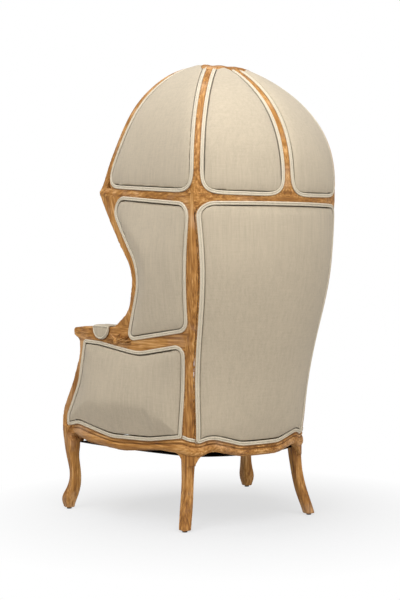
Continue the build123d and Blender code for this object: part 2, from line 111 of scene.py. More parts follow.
CROWN_Y = -0.012
CROWN_FRONT = 46 * MM
CROWN_BACK = 142 * MM
CROWN_DIP = 4 * MM
CROWN_NOTCH = 0.86
CROWN_STEPS = 144
CROWN_ROUNDS = 12
CROWN_RIBS = tuple(math.radians(turn) for turn in (-12, 46, 90, 134, 192))
CROWN_SECTION = ((0.02, 1.5 * MM), (0.3, 1.5 * MM), (0.6, 1.5 * MM), (0.80, 1.5 * MM),
                 (0.92, 1.5 * MM), (0.97, 0.8 * MM), (1.0, -0.8 * MM), (1.0, -4 * MM),
                 (0.9, -6 * MM), (0.02, -6 * MM))
CROWN_ABOVE = 0.2

# Upholstery
DISC_INSET = 4 * MM
DISC_ROLL = 2.8 * MM
DISC_STEPS = 16
PIPING = 3.2 * MM
PIPING_STEPS = 360
PIPING_LEVELS = (("upper", 0.74), ("lower", 0.13))
PIPING_STEP = 5 * MM
PAD_VOXEL = 6 * MM
DISC_VOXEL = 3 * MM
CLOTH_PRESSURE = 4.0
CLOTH_FRAMES = 20
CLOTH_QUALITY = 4
CLOTH_TENSION = 12
CLOTH_BENDING = 2
WELT_STEP = 7 * MM
WELT_PROUD = 0.8 * MM
WELT_LAP = 0.3 * MM
WELT_DEPTH = 8 * MM
WELT_VALLEY = 0.5
WELT_CREASE = math.radians(40)
ROLL_STEPS = 8
GORE_ROUNDS = 30
CHAIR_MIDDLE = Vector((0, 0, 1.0))
LIP_REACH = 4 * MM
LIP_LEAST = -4.2 * MM
LIP_SECTION = ((-4.6 * MM, -1.6 * MM), (-3.2 * MM, -0.3 * MM), (-1.6 * MM, 0.3 * MM), (0.0, 0.3 * MM),
               (0.9 * MM, -0.4 * MM), (1.2 * MM, -5 * MM), (-3.0 * MM, -5 * MM))
SETTLE_BASE = -1.5 * MM
SETTLE_SLOPE = 0.34
SETTLE_BLEND = 3 * MM
SETTLE_REACH = 150 * MM
LEVEL_SHARE = 0.80
LEVEL_ROUNDS = 160

# Timber
WELD = 0.005 * MM
TIMBER_VOXEL = 3.5 * MM
SKIN_VOXEL = 3 * MM
SKIN_ROUNDS = 5
SKIN_SNAP = 3 * MM
SEAM_REACH = 2 * MM
SEAM_LAP = 1.2 * MM
SEAM_SNAP = 1.6 * MM
FOOT_TOP = 200 * MM
FOOT_RUN = 140 * MM
FOOT_SWELL = 3 * MM


# Node trees

class Graph:
    """The node tree of a material or a world, with short calls for its nodes."""

    def __init__(self, owner):
        self.owner = owner
        owner.use_nodes = True
        self.tree = owner.node_tree
        self.shader = self.tree.nodes.get("Principled BSDF")

    def node(self, kind, inputs=(), **settings):
        made = self.tree.nodes.new(kind)
        for key, value in settings.items():
            setattr(made, key, value)
        for key, value in dict(inputs).items():
            self.put(made.inputs[key], value)
        return made

    def put(self, socket, value):
        if isinstance(value, bpy.types.NodeSocket):
            self.tree.links.new(value, socket)
        else:
            socket.default_value = value

    def place(self):
        """The point in the row frame, as every piece's object sits at the origin."""
        return self.node("ShaderNodeTexCoord").outputs["Object"]

    def scaled(self, vector, scale):
        return self.node("ShaderNodeVectorMath", {0: vector, 1: scale}, operation="MULTIPLY").outputs[0]

    def noise(self, vector, scale, detail=2.0, roughness=0.5):
        made = self.node("ShaderNodeTexNoise", {"Vector": vector, "Scale": scale, "Detail": detail,
                                                "Roughness": roughness})
        return made.outputs["Fac"]

    def math(self, operation, first, second=0.0, clamp=False):
        made = self.node("ShaderNodeMath", {0: first, 1: second}, operation=operation, use_clamp=clamp)
        return made.outputs[0]

    def mix(self, factor, first, second):
        made = self.node("ShaderNodeMix", data_type="RGBA")
        self.put(made.inputs[0], factor)
        self.put(made.inputs[6], first)
        self.put(made.inputs[7], second)
        return made.outputs[2]

    def ramp(self, factor, stops):
        made = self.node("ShaderNodeValToRGB", {"Fac": factor})
        elements = made.color_ramp.elements
        while len(elements) < len(stops):
            elements.new(0.5)
        for element, (place, colour) in zip(elements, stops):
            element.position = place
            element.color = colour
        return made.outputs["Color"]

    def bump(self, height, strength, distance):
        made = self.node("ShaderNodeBump", {"Height": height, "Strength": strength,
                                            "Distance": distance})
        self.put(self.shader.inputs["Normal"], made.outputs[0])

    def surface(self, values):
        for key, value in values.items():
            self.put(self.shader.inputs[key], value)


def srgb(*shown):
    """A colour given as in an image, in linear values."""
    shares = [value / 255 for value in shown]
    return (*(share / 12.92 if share <= 0.04045 else ((share + 0.055) / 1.055) ** 2.4
              for share in shares), 1.0)


def toned(colour, factor):
    """A colour made lighter or darker."""
    return (*(min(1.0, value * factor) for value in colour[:3]), 1.0)


def painted_groove_shade(graph, distance, least):
    """Painted shade that gathers in grooves, from ambient occlusion, as a factor from least to 1."""
    made = graph.node("ShaderNodeAmbientOcclusion", {"Distance": distance}, samples=6)
    return graph.math("MAXIMUM", made.outputs["AO"], least)


def linen(name, colour, crease):
    """Plain linen: fine upright slubs, level weft threads, and shade in its creases."""
    graph = Graph(bpy.data.materials.new(name))
    place = graph.place()
    upright = graph.noise(graph.scaled(place, (620, 620, 14)), 1.0, 3.0, 0.6)
    level = graph.noise(graph.scaled(place, (24, 24, 800)), 1.0, 2.0, 0.6)
    broad = graph.noise(graph.scaled(place, (110, 110, 5)), 1.0, 2.0)
    patch = graph.noise(place, 4.0, 2.0)
    thread = graph.mix(0.4, upright, level)
    tone = graph.math("ADD", graph.math("MULTIPLY", thread, 0.60), graph.math("MULTIPLY", broad, 0.22))
    tone = graph.math("ADD", tone, graph.math("MULTIPLY", patch, 0.18))
    woven = graph.ramp(tone, ((0.38, toned(colour, 0.86)), (0.50, colour), (0.62, toned(colour, 1.10))))
    # Painted shade: the linen darkens towards a deep drab in its creases and grooves.
    shaded = graph.mix(painted_groove_shade(graph, 5 * MM, crease), srgb(92, 84, 66), woven)
    graph.surface({"Base Color": shaded, "Roughness": 0.92, "Specular IOR Level": 0.2,
                   "Sheen Weight": 0.15, "Sheen Roughness": 0.6})
    graph.bump(thread, 0.3, 0.5 * MM)
    return graph.owner


def grain_place(graph, along):
    """The point drawn together along the grain, alike on both sides of the chair."""
    parts = graph.node("ShaderNodeSeparateXYZ", {0: graph.place()})
    width = graph.math("ABSOLUTE", parts.outputs[0])
    joined = graph.node("ShaderNodeCombineXYZ", {0: width, 1: parts.outputs[1], 2: parts.outputs[2]})
    place = joined.outputs[0]
    run = Vector(along).normalized()
    reach = graph.node("ShaderNodeVectorMath", {0: place, 1: run}, operation="DOT_PRODUCT")
    back = graph.math("MULTIPLY", reach.outputs["Value"], -0.94)
    made = graph.node("ShaderNodeVectorMath", {0: run, "Scale": back}, operation="SCALE")
    total = graph.node("ShaderNodeVectorMath", {0: place, 1: made.outputs[0]}, operation="ADD")
    return total.outputs[0]


def timber(name, along):
    """Weathered golden-brown wood with a pale wash left in the grain."""
    graph = Graph(bpy.data.materials.new(name))
    place = grain_place(graph, along)
    figure = graph.noise(place, 32.0, 7.0, 0.62)
    streak = graph.noise(place, 150.0, 3.0, 0.6)
    pores = graph.noise(place, 620.0, 2.0, 0.5)
    wash = graph.noise(graph.place(), 9.0, 3.0, 0.6)
    tone = graph.math("ADD", graph.math("MULTIPLY", figure, 0.45), graph.math("MULTIPLY", streak, 0.55))
    colour = graph.ramp(tone, ((0.37, srgb(122, 76, 30)), (0.46, srgb(164, 110, 50)),
                               (0.54, srgb(192, 136, 70)), (0.63, srgb(224, 174, 112))))
    pale = graph.math("MULTIPLY", graph.math("SUBTRACT", wash, 0.52, clamp=True), 3.2, clamp=True)
    colour = graph.mix(graph.math("MULTIPLY", pale, streak), colour, srgb(222, 186, 152))
    dark = graph.math("MULTIPLY", graph.math("SUBTRACT", pores, 0.58, clamp=True), 2.5, clamp=True)
    colour = graph.mix(dark, colour, srgb(104, 66, 30))
    # Painted shade: the wood darkens towards deep brown in its grooves and recesses.
    colour = graph.mix(painted_groove_shade(graph, 6 * MM, 0.4), srgb(84, 50, 22), colour)
    rough = graph.math("ADD", graph.math("MULTIPLY", streak, 0.3), 0.42)
    graph.surface({"Base Color": colour, "Roughness": rough, "Specular IOR Level": 0.3})
    graph.bump(graph.math("ADD", figure, graph.math("MULTIPLY", pores, 0.4)), 0.25, 1.2 * MM)
    return graph.owner


def plain_weave(name, colour, pitch):
    """A coarse plain weave, for webbing and cambric."""
    graph = Graph(bpy.data.materials.new(name))
    place = graph.place()
    across = graph.noise(graph.scaled(place, (1 / pitch, 12, 12)), 1.0)
    along = graph.noise(graph.scaled(place, (12, 1 / pitch, 12)), 1.0)
    thread = graph.math("MULTIPLY", across, along)
    graph.surface({"Base Color": graph.mix(thread, colour, toned(colour, 1.6)), "Roughness": 0.95,
                   "Specular IOR Level": 0.15})
    graph.bump(thread, 0.4, 0.8 * MM)
    return graph.owner


def nylon(name):
    """Dark moulded plastic with a faint mottle."""
    graph = Graph(bpy.data.materials.new(name))
    mottle = graph.noise(graph.place(), 300.0, 3.0)
    mottled = graph.mix(mottle, srgb(30, 26, 22), srgb(48, 42, 36))
    graph.surface({"Base Color": mottled, "Roughness": 0.45})
    graph.bump(mottle, 0.1, 0.2 * MM)
    return graph.owner


LINEN = srgb(192, 177, 153)
# The welts' linen is the fields' linen painted paler: a painted highlight where the raised cords catch
# the light.
PAINTED_LIT_WELT = srgb(216, 203, 179)
fabric = {
    "outer_linen": linen("outer_linen", LINEN, 0.25),
    "inside_linen": linen("inside_linen", LINEN, 0.35),
    "welt_linen": linen("welt_linen", PAINTED_LIT_WELT, 0.7),
    "jute": plain_weave("jute", srgb(150, 118, 74), 2 * MM),
    "cambric": plain_weave("cambric", srgb(22, 20, 19), 1 * MM),
}
UPRIGHT = (0, 0, 1)
BACK_TO_FRONT = (0.28, -0.96, 0)
SIDE_TO_SIDE = (1, 0, 0)
STILE_RUN = (0, 0.45, -0.89)
RIB_RUN = (0.40, 0.44, -0.80)
ARCH_RUN = (0.55, -0.30, -0.78)


# Meshes

def rows_of(items, field, width, kind=float):
    """One field of a mesh's items, as rows of numbers."""
    flat = np.empty(len(items) * width, dtype=kind)
    items.foreach_get(field, flat)
    return flat.reshape(-1, width)


def points_of(mesh):
    return rows_of(mesh.vertices, "co", 3)


def set_points(mesh, points):
    mesh.vertices.foreach_set("co", points.ravel())
    mesh.update()


def edges_of(mesh):
    return rows_of(mesh.edges, "vertices", 2, np.int64)


def normals_of(mesh):
    return rows_of(mesh.vertex_normals, "vector", 3)


def smoothed(points, edges, rounds):
    """Points eased towards their neighbours, with little shrinking."""
    count = np.bincount(edges.ravel(), minlength=len(points))[:, None]
    for turn in range(2 * rounds):
        total = np.zeros_like(points)
        for axis in range(3):
            column = points[:, axis]
            total[:, axis] = (np.bincount(edges[:, 0], column[edges[:, 1]], len(points))
                              + np.bincount(edges[:, 1], column[edges[:, 0]], len(points)))
        weight = 0.5 if turn % 2 == 0 else -0.46
        points = points + weight * (total / count - points)
    return points


def welded(*names):
    """A bmesh of CAD nodes, with the split vertices joined."""
    made = bmesh.new()
    for name in names:
        made.from_mesh(nodes[name].data)
    bmesh.ops.remove_doubles(made, verts=made.verts, dist=WELD)
    return made


def new_object(name, data):
    made = bpy.data.objects.new(name, data)
    bpy.context.scene.collection.objects.link(made)
    return made


def smooth_object(name, shape):
    """A smooth new object from a bmesh, with its faces turned outward."""
    mesh = bpy.data.meshes.new(name)
    bmesh.ops.recalc_face_normals(shape, faces=shape.faces)
    shape.to_mesh(mesh)
    shape.free()
    mesh.polygons.foreach_set("use_smooth", [True] * len(mesh.polygons))
    return new_object(name, mesh)


def lofted(name, points, faces):
    """A smooth new object from points and faces."""
    mesh = bpy.data.meshes.new(name)
    mesh.from_pydata(points, [], faces)
    shape = bmesh.new()
    shape.from_mesh(mesh)
    bpy.data.meshes.remove(mesh)
    return smooth_object(name, shape)


def finder_of(points):
    """A search tree over points."""
    finder = KDTree(len(points))
    for index, point in enumerate(points):
        finder.insert(point, index)
    finder.balance()
    return finder


def surface_of(piece):
    """A search tree over a piece's faces."""
    return BVHTree.FromPolygons([vertex.co.copy() for vertex in piece.data.vertices],
                                [tuple(face.vertices) for face in piece.data.polygons])


def threes(loop):
    """Each item of a closed loop between the ones before and after it."""
    return zip(loop[-1:] + loop[:-1], loop, loop[1:] + loop[:1])


def remeshed(name, shape, voxel):
    """A new object of a bmesh's shape, in even small faces."""
    mesh = bpy.data.meshes.new(name)
    shape.to_mesh(mesh)
    shape.free()
    piece = new_object(name, mesh)
    remesh = piece.modifiers.new("Remesh", "REMESH")
    remesh.mode = "VOXEL"
    remesh.voxel_size = voxel
    graph = bpy.context.evaluated_depsgraph_get()
    piece.data = bpy.data.meshes.new_from_object(piece.evaluated_get(graph))
    piece.modifiers.clear()
    piece.data.name = piece.name
    piece.data.polygons.foreach_set("use_smooth", [True] * len(piece.data.polygons))
    return piece


def mirrored(source, name):
    """The mirror image of a piece on the chair's other side."""
    mesh = source.data.copy()
    shape = bmesh.new()
    shape.from_mesh(mesh)
    for vertex in shape.verts:
        vertex.co.x = -vertex.co.x
    bmesh.ops.reverse_faces(shape, faces=shape.faces)
    shape.to_mesh(mesh)
    shape.free()
    mesh.name = name
    return new_object(name, mesh)


def finished(piece, material, body, slot, *stands_for):
    """Give a piece its material and body, and hide the CAD nodes that it stands for. The slot is not
    used.
    """
    piece.data.materials.clear()
    piece.data.materials.append(material)
    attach(piece, body)
    if stands_for:
        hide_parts(*stands_for)


def finished_pair(piece, name, material, slot):
    """Finish a left piece, and its mirror image as the right one."""
    finished(piece, material, "chair", slot)
    finished(mirrored(piece, f"{name}_right"), material, "chair", slot)


# Welts: two cords side by side round each field

def top_loops(node):
    """The outer and inner edge of a welt's shown face, and the face's normals."""
    shape = welded(node)
    shape.faces.index_update()
    unseen = set(shape.faces)
    best = None
    while unseen:
        start = unseen.pop()
        group, queue = {start}, [start]
        while queue:
            face = queue.pop()
            for edge in face.edges:
                if len(edge.link_faces) != 2 or edge.calc_face_angle(0) > WELT_CREASE:
                    continue
                for other in edge.link_faces:
                    if other in unseen:
                        unseen.discard(other)
                        group.add(other)
                        queue.append(other)
        outward = sum(face.calc_area()
                      * face.normal.dot((face.calc_center_median() - CHAIR_MIDDLE).normalized())
                      for face in group)
        if best is None or outward > best[0]:
            best = (outward, group)
    faces = sorted(best[1], key=lambda face: face.index)
    rim = [edge for face in faces for edge in face.edges
           if sum(other in best[1] for other in edge.link_faces) == 1]
    loops = chained([(edge.verts[0].co.copy(), edge.verts[1].co.copy()) for edge in rim])
    loops = sorted((from_top(loop) for loop in loops), key=loop_length, reverse=True)
    surface = [(face.calc_center_median(), face.normal.copy()) for face in faces]
    shape.free()
    return loops[0], loops[1], surface


def chained(segments):
    """Closed loops of points from loose segments."""
    def key(point):
        return tuple(round(value * 1e6) for value in point)

    links = {}
    for first, second in segments:
        links.setdefault(key(first), []).append(second)
        links.setdefault(key(second), []).append(first)
    loops, used = [], set()
    for first, _ in segments:
        if key(first) in used:
            continue
        loop, here = [first], first
        used.add(key(first))
        while True:
            step = [point for point in links[key(here)] if key(point) not in used]
            if not step:
                break
            here = step[0]
            used.add(key(here))
            loop.append(here)
        loops.append(loop)
    return loops


def from_top(loop):
    """A closed loop that starts at its highest point and always turns the same way."""
    start = max(range(len(loop)), key=lambda index: [round(value, 5) for value in loop[index].zyx])
    loop = loop[start:] + loop[:start]
    return loop if tuple(loop[1]) > tuple(loop[-1]) else loop[:1] + loop[:0:-1]


def loop_length(loop):
    return sum((a - b).length for a, b in zip(loop, loop[1:] + loop[:1]))


def resampled(loop, step):
    """Points at even steps round a closed loop."""
    total = loop_length(loop)
    count = max(8, round(total / step))
    made, travelled, target = [], 0.0, 0.0
    for first, second in zip(loop, loop[1:] + loop[:1]):
        length = (second - first).length
        while length > 0 and target < travelled + length and len(made) < count:
            made.append(first.lerp(second, (target - travelled) / length))
            target += total / count
        travelled += length
    return made


def nearest_on(loop, point):
    """The closest point of a closed loop to a point."""
    best, place = 1e9, None
    for first, second in zip(loop, loop[1:] + loop[:1]):
        run = second - first
        share = max(0.0, min(1.0, (point - first).dot(run) / max(run.length_squared, 1e-12)))
        candidate = first + run * share
        distance = (candidate - point).length_squared
        if distance < best:
            best, place = distance, candidate
    return place


def ring_mesh(name, rings):
    """A closed mesh through rings of points, the last joined to the first."""
    count, size = len(rings), len(rings[0])
    points = [tuple(point) for ring in rings for point in ring]
    faces = [(a * size + c, a * size + (c + 1) % size, b * size + (c + 1) % size, b * size + c)
             for a in range(count) for b in ((a + 1) % count,) for c in range(size)]
    return lofted(name, points, faces)


def smooth_ring(values, rounds):
    """Vectors round a closed loop, eased along it."""
    for _ in range(rounds):
        values = [(before + here * 2 + after) / 4 for before, here, after in threes(values)]
    return values


def roll_profile():
    """A double welt across its band: share of the width, height in roll radii."""
    made = []
    for centre in (0.25, 0.75):
        for step in range(ROLL_STEPS + 1):
            angle = math.pi * (1 - step / ROLL_STEPS)
            share = centre + 0.25 * math.cos(angle)
            height = math.sin(angle)
            if 0.1 < share < 0.9:
                height = max(height, WELT_VALLEY)
            made.append((share, height))
    return made


def welt_course(node):
    """Even points on a welt's seat, its outer and its inner edge, and the normals there.

    A gore's welt turns its corners more widely than its seat in the timbers."""
    outer, inner, surface = top_loops(node)
    finder = finder_of([place for place, _ in surface])
    seat = rim = resampled(outer, WELT_STEP)
    facing = smooth_ring([nearest_on(inner, point) for point in rim], 2)
    normals = smooth_ring([surface[finder.find(point)[1]][1] for point in rim], 6)
    if "gore" in node:
        rim, facing = smooth_ring(rim, GORE_ROUNDS), smooth_ring(facing, GORE_ROUNDS)
    return seat, rim, facing, [normal.normalized() for normal in normals]


def double_welt(node):
    """Two linen rolls side by side in the place of a flat CAD welt."""
    _, rim, facing, normals = welt_course(node)
    width = sorted((a - b).length for a, b in zip(rim, facing))[len(rim) // 2]
    profile = roll_profile()
    rings = []
    for edge, second, up in zip(rim, facing, normals):
        first = edge + (edge - second).normalized() * WELT_LAP
        ring = [first.lerp(second, share) + up * (width / 4 * (height - 1) + WELT_PROUD)
                for share, height in profile]
        ring += [second - up * WELT_DEPTH, first - up * WELT_DEPTH]
        rings.append(ring)
    finished(ring_mesh(f"{node}_rolls", rings), fabric["welt_linen"], "chair", "welt_linen", node)


def rebate_lip(node, skin, wood):
    """The rounded edge of the timbers round a welt, which closes the gap beside it."""
    seat, rim, facing, normals = welt_course(node)
    levels = []
    for edge, second, up in zip(seat, facing, normals):
        beside = edge + (edge - second).normalized() * LIP_REACH
        levels.append(up * max(LIP_LEAST, (on_skin(skin, beside)[0] - edge).dot(up)))
    levels = smooth_ring(levels, 6)
    rings = []
    for start, edge, second, up, level in zip(seat, rim, facing, normals, levels):
        inward = (second - edge).normalized()
        rings.append([(start if reach < 0 else edge) + inward * reach + level + up * height
                      for reach, height in LIP_SECTION])
    finished(ring_mesh(f"{node}_lip", rings), wood, "chair", "show_wood")


# Pads: remeshed, swollen by cloth pressure and capped

def swollen(pieces, cap_of):
    """Run the cloth on all the pads at once, then keep each point within its cap."""
    rest = {piece.name: points_of(piece.data) for piece in pieces}
    for piece in pieces:
        cloth = piece.modifiers.new("Cloth", "CLOTH")
        cloth.settings.quality = CLOTH_QUALITY
        cloth.settings.use_pressure = True
        cloth.settings.uniform_pressure_force = CLOTH_PRESSURE
        cloth.settings.tension_stiffness = CLOTH_TENSION
        cloth.settings.compression_stiffness = CLOTH_TENSION
        cloth.settings.bending_stiffness = CLOTH_BENDING
        cloth.settings.effector_weights.gravity = 0
    scene = bpy.context.scene
    for number in range(1, CLOTH_FRAMES + 1):
        scene.frame_set(number)
    graph = bpy.context.evaluated_depsgraph_get()
    for piece in pieces:
        moved = points_of(piece.evaluated_get(graph).data)
        step = moved - rest[piece.name]
        length = np.linalg.norm(step, axis=1, keepdims=True)
        share = np.minimum(1.0, cap_of[piece.name] / np.maximum(length, 1e-9))
        piece.modifiers.clear()
        points = smoothed(rest[piece.name] + step * share, edges_of(piece.data), 2)
        set_points(piece.data, points)
    scene.frame_set(1)


def levelled(piece):
    """Ease the steps out of the cushion's upper face."""
    edges = edges_of(piece.data)
    points = points_of(piece.data)
    low, high = points[:, 2].min(), points[:, 2].max()
    upper = points[:, 2] > low + (high - low) * LEVEL_SHARE
    count = np.bincount(edges.ravel(), minlength=len(points))
    for _ in range(LEVEL_ROUNDS):
        height = points[:, 2]
        total = (np.bincount(edges[:, 0], height[edges[:, 1]], len(points))
                 + np.bincount(edges[:, 1], height[edges[:, 0]], len(points)))
        points[:, 2] = np.where(upper, (height + total / count) / 2, height)
    set_points(piece.data, points)


PADS = (
    # node, paired, most swelling, fill, slot
    ("outer_wing_panel", True, 3 * MM, 0.8, "outer_linen"),
    ("outer_arm_panel", True, 4 * MM, 0.8, "outer_linen"),
    ("outer_back_panel", False, 3 * MM, 0.8, "outer_linen"),
    ("side_gore", True, 2 * MM, 0.8, "outer_linen"),
    ("back_gore", True, 2 * MM, 0.8, "outer_linen"),
    ("side_dome_lining", True, 2 * MM, 0.7, "inside_linen"),
    ("back_dome_lining", True, 2 * MM, 0.7, "inside_linen"),
    ("inside_wing_pad", True, 5 * MM, 0.7, "inside_linen"),
    ("inside_arm_pad", True, 5 * MM, 0.7, "inside_linen"),
    ("inside_back_pad", False, 5 * MM, 0.7, "inside_linen"),
    ("arm_pad", True, 2 * MM, 0.8, "outer_linen"),
    ("seat_deck", False, 2 * MM, 0.8, "inside_linen"),
    ("seat_cushion", False, 6 * MM, 0.7, "inside_linen"),
)


def settled(piece, welt):
    """Draw a field's edge down to its welt, rising gently from there."""
    _, rim, facing, normals = welt_course(welt)
    finder = finder_of(facing)
    points = points_of(piece.data)
    for index, point in enumerate(points):
        place, near, reach = finder.find(point)
        height = (Vector(point) - place).dot(normals[near])
        away = math.sqrt(max(0.0, reach * reach - height * height))
        outside = (Vector(point) - place).dot(rim[near] - place) > 0
        limit = SETTLE_BASE + SETTLE_SLOPE * (-away if outside else away)
        if away < SETTLE_REACH and height > limit - 3 * SETTLE_BLEND:
            soft = -SETTLE_BLEND * math.log(math.exp(-height / SETTLE_BLEND)
                                            + math.exp(-limit / SETTLE_BLEND))
            points[index] = Vector(point) + normals[near] * (soft - height)
    set_points(piece.data, smoothed(points, edges_of(piece.data), 2))


def make_pads():
    """Every field, lining and pad; gives back the pieces by their CAD nodes."""
    made, caps = {}, {}
    for node, paired, cap, _, _ in PADS:
        source = f"{node}_left" if paired else node
        voxel = DISC_VOXEL if node == "arm_pad" else PAD_VOXEL
        piece = remeshed(f"{source}_cover", welded(source), voxel)
        made[source] = piece
        caps[piece.name] = cap
    swollen(list(made.values()), caps)
    levelled(made["seat_cushion"])
    for source, piece in made.items():
        welt = source.replace("outer_", "").replace("_panel", "_welt").replace("_gore", "_gore_welt")
        if welt != source and welt in nodes:
            settled(piece, welt)
    for node, paired, _, fill, slot in PADS:
        names = [f"{node}_{side}" for side in SIDES] if paired else [node]
        for name in names:
            piece = made.get(name) or mirrored(made[f"{node}_left"], f"{name}_cover")
            body = "cushion" if name == "seat_cushion" else "chair"
            finished(piece, fabric[slot], body, slot, name)
    return made


# Timbers

def surface_of_nodes(names):
    """A search tree over the faces of several CAD nodes."""
    points, faces = [], []
    for node in names:
        mesh = nodes[node].data
        start = len(points)
        points.extend(vertex.co.copy() for vertex in mesh.vertices)
        faces.extend([start + index for index in face.vertices] for face in mesh.polygons)
    return BVHTree.FromPolygons(points, faces)


TIMBER_RUNS = {
    "back_post": UPRIGHT, "front_leg": UPRIGHT, "arm_support": UPRIGHT, "arm": BACK_TO_FRONT,
    "side_belt_rail": BACK_TO_FRONT, "wing_stile": STILE_RUN, "side_rail": BACK_TO_FRONT,
    "front_arch": ARCH_RUN, "corner_rib": RIB_RUN, "back_belt_rail": SIDE_TO_SIDE,
    "back_rail": SIDE_TO_SIDE, "front_rail": SIDE_TO_SIDE, "crown_block": SIDE_TO_SIDE,
    "centre_rib": (0, 0.6, -0.8),
}
TIMBERS = [name for base in TIMBER_RUNS for name in (base, f"{base}_left", f"{base}_right")
           if name in nodes]


def whole_frame():
    """The surface of all the timbers glued and carved as one: its faces, points and normals."""
    made = remeshed("whole_frame", welded(*TIMBERS), SKIN_VOXEL)
    set_points(made.data, smoothed(points_of(made.data), edges_of(made.data), SKIN_ROUNDS))
    skin = (surface_of(made), finder_of([vertex.co.copy() for vertex in made.data.vertices]),
            [Vector(normal) for normal in normals_of(made.data)])
    bpy.data.objects.remove(made)
    return skin


def carved(node, skin):
    """A timber in small faces, drawn onto the carved skin and closed up at its joints."""
    tree, finder, skin_normals = skin
    piece = remeshed(f"{node}_carved", welded(node), TIMBER_VOXEL)
    own_normals = normals_of(piece.data)
    eased = smoothed(points_of(piece.data), edges_of(piece.data), 3)
    rest = points_of(piece.data)
    others = surface_of_nodes(other for other in TIMBERS if other != node)
    normals = []
    for index, point in enumerate(rest):
        jointed = others.find_nearest(Vector(point), SEAM_REACH)[0] is not None
        place = Vector(point + own_normals[index] * SEAM_LAP) if jointed else Vector(eased[index])
        found = tree.find_nearest(place, SEAM_SNAP if jointed else SKIN_SNAP)
        shown = found[0] is not None
        eased[index] = found[0] if shown else place
        normals.append(skin_normals[finder.find(place)[1]] if shown else (0, 0, 0))
    if node.startswith(("front_leg", "back_post")):
        for index, normal in enumerate(normals):
            low = min(1.0, max(0.0, (FOOT_TOP - eased[index][2]) / FOOT_RUN))
            side = Vector((normal[0], normal[1], 0)) * (FOOT_SWELL * low * low * (3 - 2 * low))
            eased[index] = Vector(eased[index]) + side
    set_points(piece.data, eased)
    piece.data.normals_split_custom_set_from_vertices(normals)
    return piece


def make_timbers():
    """The carved timbers; gives back the skin that the trim is laid on."""
    skin = whole_frame()
    for base, run in TIMBER_RUNS.items():
        wood = timber(f"{base}_timber", run)
        if base in nodes:
            finished(carved(base, skin), wood, "chair", "show_wood", base)
            continue
        left = carved(f"{base}_left", skin)
        right = mirrored(left, f"{base}_right_carved")
        finished(left, wood, "chair", "show_wood", f"{base}_left")
        finished(right, wood, "chair", "show_wood", f"{base}_right")
    return skin


# Carved trim, laid on the timbers

def swept(name, course):
    """A mesh through the sections of an open course, closed flat at both ends."""
    size = len(course[0])
    points = [tuple(point) for ring in course for point in ring]
    faces = [(a * size + c, a * size + (c + 1) % size, b * size + (c + 1) % size, b * size + c)
             for a, b in zip(range(len(course)), range(1, len(course))) for c in range(size)]
    faces.append(tuple(range(size)))
    faces.append(tuple(len(points) - 1 - c for c in range(size)))
    return lofted(name, points, faces)


def round_section(middle, across, upward, radius, flat=1.0):
    """Points round a cord's section, which may be flatter upward."""
    return [middle + across * (radius * math.cos(turn)) + upward * (radius * flat * math.sin(turn))
            for turn in (math.tau * step / BEAD_SIDES for step in range(BEAD_SIDES))]


def run_at(path, index):
    """An open path's direction at one of its points."""
    return (path[min(index + 1, len(path) - 1)] - path[max(index - 1, 0)]).normalized()


def eased_path(path, rounds):
    """The points or values of an open path, eased, with the ends kept."""
    for _ in range(rounds):
        middle = [(a + b * 2 + c) / 4 for a, b, c in zip(path, path[1:], path[2:])]
        path = [path[0]] + middle + [path[-1]]
    return path


def even_path(path, step):
    """An open path in even steps."""
    lengths = [(b - a).length for a, b in zip(path, path[1:])]
    count = max(4, round(sum(lengths) / step))
    made, walked, index = [path[0]], 0.0, 0
    for number in range(1, count):
        target = sum(lengths) * number / count
        while walked + lengths[index] < target:
            walked += lengths[index]
            index += 1
        made.append(path[index].lerp(path[index + 1], (target - walked) / lengths[index]))
    return made + [path[-1]]


def low_run(node, order):
    """The lower edge of a welt, in order along the chair."""
    outer = resampled(top_loops(node)[0], WELT_STEP)
    low = min(point.z for point in outer)
    run = []
    for before, here, after in threes(outer):
        step = after - before
        if abs(step.z) < APRON_LEVEL * step.length and here.z < low + APRON_REACH:
            run.append(here)
    return sorted(run, key=order)


def apron_path():
    """Just under the welts, from the left front leg round the back to the right one."""
    side = low_run("arm_welt_left", lambda point: point.y)
    back = [point for point in low_run("back_welt", lambda point: -point.x) if point.x >= 0]
    half = even_path(eased_path(even_path(side + back, APRON_STEP), 4), APRON_STEP)
    return half + [Vector((-point.x, point.y, point.z)) for point in reversed(half[:-1])]


def apron_frames(path, skin):
    """Where the apron starts under the path, its way down and its height."""
    tree, finder, skin_normals = skin
    frames = []
    for index, place in enumerate(path):
        face = place - Vector((0, 0, APRON_LEAST / 2))
        normal = sum((skin_normals[found[1]] for found in finder.find_n(face, 16)), Vector())
        down = run_at(path, index).cross(normal).normalized()
        down = down if down.z < 0 else -down
        start = here = tree.find_nearest(place + down * APRON_PROBE)[0]
        tall = 0.0
        while tall < APRON_MOST:
            probe = here + down * APRON_PROBE
            here = tree.find_nearest(probe)[0]
            if tall > APRON_LEAST and (here - probe).length > APRON_PROBE * APRON_TURN:
                break
            tall += APRON_PROBE
        frames.append((start, down, tall))
    talls = eased_path([tall for _, _, tall in frames], APRON_EASE)
    return [(start, down, tall) for (start, down, _), tall in zip(frames, talls)]


def laid_moulding(name, frames, section, tree):
    """A moulding of (share of the apron's height, proud) points, laid on the carved skin."""
    rings = []
    for index, (place, down, tall) in enumerate(frames):
        ends = min(index, len(frames) - 1 - index) * APRON_STEP
        scale = min(1.0, 0.15 + 0.85 * ends / APRON_TAPER)
        ring = []
        for share, proud in section:
            found, normal, _, _ = tree.find_nearest(place + down * (share * tall))
            ring.append(found + normal * (proud * scale if proud > 0 else proud))
        rings.append(ring)
    courses = [eased_path(list(course), 3) for course in zip(*rings)]
    return swept(name, list(zip(*courses)))


def bow_section(start, end, proud):
    """A rounded section from one share of the height to another."""
    rows = [(start, -2 * MM)]
    for step in range(7):
        angle = math.pi * step / 6
        rows.append((start + (end - start) * (1 - math.cos(angle)) / 2, proud * math.sin(angle)))
    return rows + [(end, -2 * MM)]


